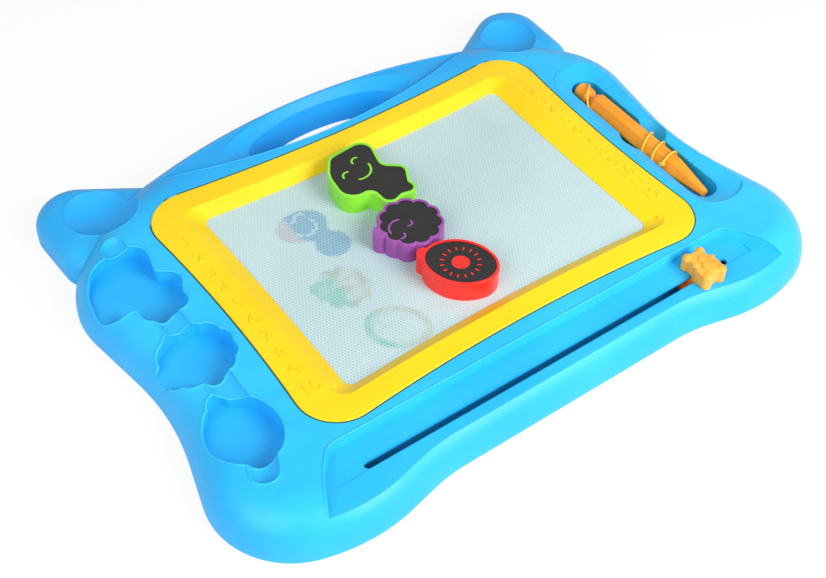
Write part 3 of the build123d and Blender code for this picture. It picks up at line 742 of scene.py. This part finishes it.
def stopperKnot():
    sizes = knotSizes
    middle = route[-1]
    way = (route[-1] - route[-2]).normalized()
    fromAxis = Vector((middle.x - cordSizes["penX"] * mm, 0, middle.z - cordSizes["penZ"] * mm))
    out = fromAxis.normalized()
    side = way.cross(out).normalized()
    loop = []
    for step in range(sizes["points"]):
        turn = 2 * math.pi * step / sizes["points"]
        along = math.sin(turn) + 2 * math.sin(2 * turn)
        across = math.cos(turn) - 2 * math.cos(2 * turn)
        height = sizes["lift"] - math.sin(3 * turn) * sizes["flat"]
        loop.append(middle + (way * along + side * across + out * height) * sizes["scale"] * mm)
    reach = sizes["tail"] * mm
    tail = [middle + side * reach * aside + way * reach * ahead for aside, ahead in sizes["tailShares"]]
    parts = [
        linked(splineCurve("knotLoop", loop, sizes["radius"] * mm, closed=True), "knotLoop"),
        linked(splineCurve("knotTail", tail, sizes["radius"] * mm), "knotTail"),
    ]
    return joined("pen_cord_knot", parts, cordFinish)


cordKnot = stopperKnot()
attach(cordKnot, "pen")
print("pen cord wound from", len(route), "points")


# Node trees that make small forms: a modifier sets their inputs by key
def geometryTree(name, inputs):
    tree = bpy.data.node_groups.new(name, "GeometryNodeTree")
    tree.interface.new_socket("Geometry", in_out="OUTPUT", socket_type="NodeSocketGeometry")
    keys = {}
    for label, kind in inputs.items():
        keys[label] = tree.interface.new_socket(label, in_out="INPUT", socket_type=kind).identifier
    return tree, keys


def joinNodes(tree, links):
    for source, output, target, entry in links:
        tree.links.new(source.outputs[output], target.inputs[entry])


def runTree(piece, tree, values):
    # the piece keeps the mesh that the tree makes, and not the modifier
    modifier = piece.modifiers.new("tree", "NODES")
    modifier.node_group = tree
    for key, value in values.items():
        modifier[key] = value
    bpy.context.view_layer.update()
    mesh = settled(piece)
    piece.modifiers.clear()
    piece.data = mesh


# Soft rims: a thin bead along the edges of the wells, the tray, the pocket, the ears and the
# scoop, and a dark bead round the bezel that paints the shadow in its gap. Rows: lowest and
# highest corner of the region in millimetres, and the bead's radius.
rimSizes = {
    "sharpAngle": 28.0,  # in degrees
    "leastUp": 0.35,  # one face at least looks up by this
    "mostDown": -0.15,  # neither face looks down by more than this
    "sunkShare": 0.5,
    "weld": 0.001,
    "gap": 0.35,
    "sides": 8,
    "rims": [
        {"name": "well_rims", "low": (-196, -112, 15.2), "high": (-139, 92, 27), "radius": 0.85},
        {"name": "tray_rims", "low": (138, -92, 22.0), "high": (186, 68, 27), "radius": 0.45},
        {"name": "pocket_rims", "low": (-170, -145, 21.0), "high": (170, -101.5, 27), "radius": 0.7},
        {"name": "handle_rims", "low": (-118, 97, 17.5), "high": (118, 140, 27), "radius": 0.55},
        {"name": "left_ear_rim", "low": (-182, 84, 13.8), "high": (-119, 142, 27), "radius": 0.5},
        {"name": "right_ear_rim", "low": (119, 84, 13.8), "high": (182, 142, 27), "radius": 0.5},
    ],
    "gapShadows": [
        # painted shadow: a dark bead sunk half into the seam round the bezel
        {"name": "bezel_gap_shadow", "low": (-139, -101, 25.5), "high": (139, 101, 27), "radius": 0.42},
    ],
}


def beadTree(material):
    tree, keys = geometryTree("edgeBead", {"Edges": "NodeSocketGeometry", "Radius": "NodeSocketFloat"})
    make = tree.nodes.new
    given = make("NodeGroupInput")
    line = make("GeometryNodeMeshToCurve")
    ring = make("GeometryNodeCurvePrimitiveCircle")
    sweep = make("GeometryNodeCurveToMesh")
    smooth = make("GeometryNodeSetShadeSmooth")
    coat = make("GeometryNodeSetMaterial")
    result = make("NodeGroupOutput")
    ring.inputs["Resolution"].default_value = rimSizes["sides"]
    sweep.inputs["Fill Caps"].default_value = True
    coat.inputs["Material"].default_value = material
    joinNodes(tree, [
        (given, "Edges", line, "Mesh"),
        (given, "Radius", ring, "Radius"),
        (line, "Curve", sweep, "Curve"),
        (ring, "Curve", sweep, "Profile Curve"),
        (sweep, "Mesh", smooth, "Geometry"),
        (smooth, "Geometry", coat, "Geometry"),
        (coat, "Geometry", result, "Geometry"),
    ])
    return tree, keys


def outerEdges(node):
    # the sharp edges on the upper skin: both ends in millimetres and the way outward
    whole = bmesh.new()
    whole.from_mesh(node.data)
    bmesh.ops.remove_doubles(whole, verts=whole.verts, dist=rimSizes["weld"] * mm)
    found = []
    for edge in whole.edges:
        if len(edge.link_faces) != 2 or not edge.is_convex:
            continue
        if math.degrees(edge.calc_face_angle(0)) < rimSizes["sharpAngle"]:
            continue
        first, second = (node.matrix_world.to_3x3() @ side.normal for side in edge.link_faces)
        low, high = sorted((first.z, second.z))
        if high < rimSizes["leastUp"] or low < rimSizes["mostDown"]:
            continue
        ends = [node.matrix_world @ vertex.co / mm for vertex in edge.verts]
        found.append((*ends, (first + second).normalized()))
    whole.free()
    return found


def within(region, place):
    return all(low <= value <= high for low, value, high in zip(region["low"], place, region["high"]))


def rimBead(region, edges, tree, keys):
    lines = bmesh.new()
    sunk = region["radius"] * rimSizes["sunkShare"]
    for first, second, out in edges:
        if within(region, first) and within(region, second):
            ends = [first - out * sunk, second - out * sunk]
            lines.edges.new([lines.verts.new(end * mm) for end in ends])
    bmesh.ops.remove_doubles(lines, verts=lines.verts, dist=rimSizes["gap"] * mm)
    mesh = bpy.data.meshes.new(region["name"])
    lines.to_mesh(mesh)
    lines.free()
    piece = linked(mesh, region["name"])
    runTree(piece, tree, {keys["Radius"]: region["radius"] * mm})
    print(region["name"], len(piece.data.polygons), "faces")
    return piece


housingEdges = outerEdges(nodes["top_shell"])
for kind, material in (("rims", shellPlastic), ("gapShadows", seamShade)):
    tree, keys = beadTree(material)
    for region in rimSizes[kind]:
        rim = rimBead(region, housingEdges, tree, keys)
        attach(rim, "board")


# Raised numbers down the two long bands of the bezel, in millimetres
numberSizes = {
    "height": 8.4,
    "heightShare": 0.7,  # a figure's height in a line of text
    "raised": 0.5,
    "sunk": 0.15,
    "edge": 0.04,
    "sharpAngle": 40,  # in degrees
    "outlineSteps": 4,
    "edgeSteps": 1,
    "columns": [
        {"x": -125.4, "firstY": 60.5, "pitch": -14.4, "count": 10},
        {"x": 124.2, "firstY": 68.5, "pitch": -11.7, "count": 12},
    ],
}


def raisedNumbers():
    sizes = numberSizes
    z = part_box("bezel")[1].z + (sizes["raised"] - sizes["sunk"]) * mm / 2 - sizes["edge"] * mm
    parts = []
    for column in sizes["columns"]:
        for row in range(column["count"]):
            text = bpy.data.curves.new("number", "FONT")
            text.body = str(row + 1)
            text.size = sizes["height"] * mm / sizes["heightShare"]
            text.align_x = "CENTER"
            text.align_y = "CENTER"
            text.resolution_u = sizes["outlineSteps"]
            text.extrude = (sizes["raised"] + sizes["sunk"]) * mm / 2
            text.bevel_depth = sizes["edge"] * mm
            text.bevel_resolution = sizes["edgeSteps"]
            part = linked(text, "number")
            part.location = (column["x"] * mm, (column["firstY"] + row * column["pitch"]) * mm, z)
            parts.append(part)
    return joined("bezel_numbers", parts, bezelPlastic, sizes["sharpAngle"])


bezelNumbers = raisedNumbers()
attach(bezelNumbers, "board")
print("numbers raised on the bezel")


# Low domes and ribs: rows of place and half sizes, in millimetres
domeSteps = {"around": 20, "upward": 10}
probeHeight = 200.0


def surfaceZ(node, x, y):
    tree = BVHTree.FromObject(node, bpy.context.evaluated_depsgraph_get())
    toNode = node.matrix_world.inverted()
    start = toNode @ Vector((x * mm, y * mm, probeHeight * mm))
    hit = tree.ray_cast(start, toNode.to_3x3() @ Vector((0, 0, -1)))[0]
    return (node.matrix_world @ hit).z / mm


def rowsOn(node, sizes):
    return [((x, y, surfaceZ(node, x, y)), sizes["half"]) for x, y in sizes["spots"]]


def domes(name, rows, material):
    whole = bmesh.new()
    for place, half in rows:
        size = Matrix.Diagonal((*(part * mm for part in half), 1))
        shape = Matrix.Translation(Vector(place) * mm) @ size
        bmesh.ops.create_uvsphere(
            whole, u_segments=domeSteps["around"], v_segments=domeSteps["upward"], radius=1, matrix=shape)
    mesh = bpy.data.meshes.new(name)
    whole.to_mesh(mesh)
    whole.free()
    mesh.materials.append(material)
    mesh.shade_smooth()
    return linked(mesh, name)


# The knob's relief: one nose, and pairs to either side of its middle
knobSizes = {
    "x": 108.5,
    "y": -121.8,
    "relief": 0.9,
    "nose": {"y": 2.7, "half": (1.0, 0.75, 0.4)},
    "pairs": [
        {"x": 2.3, "y": 6.4, "half": (0.62, 0.62, 0.45)},  # eyes
        {"x": 5.0, "y": 8.8, "half": (1.7, 1.7, 0.5)},  # ears
        {"x": 6.3, "y": 0.6, "half": (2.1, 1.7, 0.6)},  # paws
        {"x": 5.4, "y": -8.6, "half": (2.2, 2.2, 0.6)},  # feet
    ],
}


def knobRows():
    sizes = knobSizes
    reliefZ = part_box("eraser_knob")[1].z / mm
    topZ = reliefZ - sizes["relief"]
    rows = [((sizes["x"], sizes["y"] + sizes["nose"]["y"], reliefZ), sizes["nose"]["half"])]
    for pair in sizes["pairs"]:
        for side in (-1, 1):
            rows.append(((sizes["x"] + side * pair["x"], sizes["y"] + pair["y"], topZ), pair["half"]))
    return rows


knobFeatures = domes("knob_features", knobRows(), knobPlastic)
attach(knobFeatures, "eraser")

# Gate marks at two corners of the bezel, and two ribs on the rim of the pen's trough
gateSizes = {"spots": [(-115.2, -73.0), (115.2, -76.8)], "half": (1.5, 1.5, 0.35)}
ribSizes = {"spots": [(170.6, -46.0), (170.6, -51.0)], "half": (2.6, 0.45, 0.9)}

gateMarks = domes("bezel_gate_marks", rowsOn(nodes["bezel"], gateSizes), bezelPlastic)
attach(gateMarks, "board")

troughRibs = domes("trough_ribs", rowsOn(nodes["top_shell"], ribSizes), shellPlastic)
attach(troughRibs, "board")
print("domes and ribs placed")

# Ring marks that ejector pins leave on the cover: a grid of shallow rings, in millimetres
markSizes = {
    "ringSides": 28,
    "lineSides": 6,
    "floats": {"Ring Radius": 3.0, "Line Radius": 0.3, "Width": 190.0, "Depth": 120.0},
    "counts": {"Columns": 6, "Rows": 4},
    "place": (0.0, -8.0, 0.8),
}


def ringGridTree(material):
    inputs = {label: "NodeSocketFloat" for label in markSizes["floats"]}
    inputs |= {label: "NodeSocketInt" for label in markSizes["counts"]}
    inputs["Place"] = "NodeSocketVector"
    tree, keys = geometryTree("ringGrid", inputs)
    make = tree.nodes.new
    given = make("NodeGroupInput")
    grid = make("GeometryNodeMeshGrid")
    ring = make("GeometryNodeCurvePrimitiveCircle")
    line = make("GeometryNodeCurvePrimitiveCircle")
    sweep = make("GeometryNodeCurveToMesh")
    spread = make("GeometryNodeInstanceOnPoints")
    move = make("GeometryNodeTransform")
    real = make("GeometryNodeRealizeInstances")
    smooth = make("GeometryNodeSetShadeSmooth")
    coat = make("GeometryNodeSetMaterial")
    result = make("NodeGroupOutput")
    ring.inputs["Resolution"].default_value = markSizes["ringSides"]
    line.inputs["Resolution"].default_value = markSizes["lineSides"]
    coat.inputs["Material"].default_value = material
    joinNodes(tree, [
        (given, "Width", grid, "Size X"),
        (given, "Depth", grid, "Size Y"),
        (given, "Columns", grid, "Vertices X"),
        (given, "Rows", grid, "Vertices Y"),
        (given, "Ring Radius", ring, "Radius"),
        (given, "Line Radius", line, "Radius"),
        (ring, "Curve", sweep, "Curve"),
        (line, "Curve", sweep, "Profile Curve"),
        (grid, "Mesh", spread, "Points"),
        (sweep, "Mesh", spread, "Instance"),
        (spread, "Instances", move, "Geometry"),
        (given, "Place", move, "Translation"),
        (move, "Geometry", real, "Geometry"),
        (real, "Geometry", smooth, "Geometry"),
        (smooth, "Geometry", coat, "Geometry"),
        (coat, "Geometry", result, "Geometry"),
    ])
    return tree, keys


def ringMarks(name, material):
    tree, keys = ringGridTree(material)
    values = {keys[label]: value * mm for label, value in markSizes["floats"].items()}
    values |= {keys[label]: value for label, value in markSizes["counts"].items()}
    values[keys["Place"]] = tuple(part * mm for part in markSizes["place"])
    piece = linked(bpy.data.meshes.new(name), name)
    runTree(piece, tree, values)
    return piece


coverMarks = ringMarks("cover_pin_marks", coverPlastic)
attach(coverMarks, "board")
print("ejector marks laid on the cover")

# Raised lines and pads on the cover's underside, in millimetres.
# A frame is its half sizes and its corner radius, and a brace is its two ends.
coverSizes = {
    "z": 0.78,
    "lineRadius": 0.75,
    "lineRounding": 1,
    "middle": (0.0, -8.0),
    "frames": [(120.0, 82.0, 16.0), (113.0, 75.0, 10.0)],
    "cornerSteps": 6,
    "braces": [
        ((-160.0, -96.0), (-124.0, -78.0)),
        ((160.0, -96.0), (124.0, -78.0)),
        ((-160.0, 84.0), (-124.0, 64.0)),
        ((160.0, 84.0), (124.0, 64.0)),
    ],
    "pads": [(-166.0, -96.0), (166.0, -96.0), (-160.0, 84.0), (160.0, 84.0)],
    "padHalf": (8.0, 8.0, 0.75),
}


def framePoints(halfX, halfY, corner):
    steps, points = coverSizes["cornerSteps"], []
    middleX, middleY = coverSizes["middle"]
    for quarter, (signX, signY) in enumerate([(1, 1), (-1, 1), (-1, -1), (1, -1)]):
        for step in range(steps + 1):
            angle = math.radians(90 * (quarter + step / steps))
            x = middleX + signX * (halfX - corner) + corner * math.cos(angle)
            y = middleY + signY * (halfY - corner) + corner * math.sin(angle)
            points.append((x, y))
    return points


def coverLine(places, closed):
    points = [Vector((*place, coverSizes["z"])) * mm for place in places]
    curve = splineCurve("coverLine", points, coverSizes["lineRadius"] * mm, closed)
    curve.bevel_resolution = coverSizes["lineRounding"]
    curve.splines[0].type = "POLY"
    return linked(curve, "coverLine")


padRows = [((x, y, coverSizes["z"]), coverSizes["padHalf"]) for x, y in coverSizes["pads"]]
coverPads = domes("cover_pads", padRows, coverPlastic)
coverParts = [coverLine(framePoints(*frameSize), True) for frameSize in coverSizes["frames"]]
coverParts += [coverLine(ends, False) for ends in coverSizes["braces"]]
coverLines = joined("cover_lines", coverParts, coverPlastic)
for piece in (coverLines, coverPads):
    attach(piece, "board")
print("lines and pads laid on the cover")

# Floor, lamps and world: places and sizes in metres, power in watts
studio = {
    "white": (1, 1, 1),
    "floorHalf": 4.0,
    "floorDeep": (0.90, 0.90, 0.90),
    "floorLight": (0.93, 0.93, 0.93),
    "floorCloud": 3.0,
    "floorGlow": 0.88,
    "worldLight": 0.37,
    "backdropLight": 1.0,
    "lamps": [
        {"name": "keyLamp", "place": (0.32, -0.90, 0.70), "size": 0.75, "power": 13.8},
        {"name": "sideLamp", "place": (-1.05, -0.35, 0.85), "size": 1.1, "power": 9.5},
    ],
    "target": (0.0, 0.0, 0.02),
}


def paleFloor():
    finish = Finish("paleFloor")
    seen = finish.add("ShaderNodeLightPath", out="Is Camera Ray")
    cloud = finish.noise(finish.point(), studio["floorCloud"])
    base = finish.mixed(cloud, studio["floorDeep"], studio["floorLight"])
    matt = finish.add("ShaderNodeBsdfDiffuse", values={"Color": base})
    glow = finish.add("ShaderNodeEmission", values={"Color": colour(studio["white"]), "Strength": 1.0})
    factor = studio["floorGlow"] * seen
    return finish.close(finish.add("ShaderNodeMixShader", values={0: factor, 1: matt, 2: glow}))


def layFloor():
    half = studio["floorHalf"]
    floorMesh = bpy.data.meshes.new("studio_floor")
    corners = [(-half, -half, 0), (half, -half, 0), (half, half, 0), (-half, half, 0)]
    floorMesh.from_pydata(corners, [], [(0, 1, 2, 3)])
    floorMesh.materials.append(paleFloor())
    linked(floorMesh, "studio_floor")


def hangLamp(lamp):
    light = bpy.data.lights.new(lamp["name"], "AREA")
    light.shape = "DISK"
    light.size = lamp["size"]
    light.energy = lamp["power"]
    holder = linked(light, lamp["name"])
    holder.location = lamp["place"]
    aim = Vector(studio["target"]) - Vector(lamp["place"])
    holder.rotation_euler = aim.to_track_quat("-Z", "Y").to_euler()


def lightWorld():
    # soft light on the object, and a white backdrop where it is seen, mirrored or looked through
    world = bpy.data.worlds.new("studioWorld")
    world.use_nodes = True
    bpy.context.scene.world = world
    tree = world.node_tree
    tree.nodes.clear()
    make, join = tree.nodes.new, tree.links.new
    path = make("ShaderNodeLightPath")
    seen = path.outputs["Is Camera Ray"]
    for ray in ("Is Glossy Ray", "Is Transmission Ray"):
        either = make("ShaderNodeMath")
        either.operation = "MAXIMUM"
        join(seen, either.inputs[0])
        join(path.outputs[ray], either.inputs[1])
        seen = either.outputs[0]
    blend = make("ShaderNodeMixShader")
    join(seen, blend.inputs[0])
    for entry, strength in ((1, studio["worldLight"]), (2, studio["backdropLight"])):
        light = make("ShaderNodeBackground")
        light.inputs["Color"].default_value = colour(studio["white"])
        light.inputs["Strength"].default_value = strength
        join(light.outputs[0], blend.inputs[entry])
    join(blend.outputs[0], make("ShaderNodeOutputWorld").inputs["Surface"])


# The camera, in metres and degrees, with lens and sensor in millimetres
view = {
    "place": (-0.3528, -0.4600, 0.5933),
    "azimuth": -43.26,
    "elevation": 48.03,
    "roll": 6.40,
    "lens": 59.8,
    "sensor": 36.0,
    "shift": (-0.127, 0.0285),
    "nearest": 0.01,
}


def setCamera():
    azimuth, elevation, roll = (math.radians(view[key]) for key in ("azimuth", "elevation", "roll"))
    back = Vector((
        math.sin(azimuth) * math.cos(elevation),
        -math.cos(azimuth) * math.cos(elevation),
        math.sin(elevation),
    ))
    level = (-back).cross(Vector((0, 0, 1))).normalized()
    above = level.cross(-back)
    right = level * math.cos(roll) + above * math.sin(roll)
    up = above * math.cos(roll) - level * math.sin(roll)
    lensData = bpy.data.cameras.new("camera")
    lensData.sensor_width = view["sensor"]
    lensData.lens = view["lens"]
    lensData.shift_x, lensData.shift_y = view["shift"]
    lensData.clip_start = view["nearest"]
    eye = linked(lensData, "camera")
    turn = Matrix((right, up, back)).transposed().to_4x4()
    eye.matrix_world = Matrix.Translation(view["place"]) @ turn
    bpy.context.scene.camera = eye


layFloor()
for lamp in studio["lamps"]:
    hangLamp(lamp)
lightWorld()
setCamera()
bpy.context.scene.view_settings.view_transform = "Standard"
print("studio set")
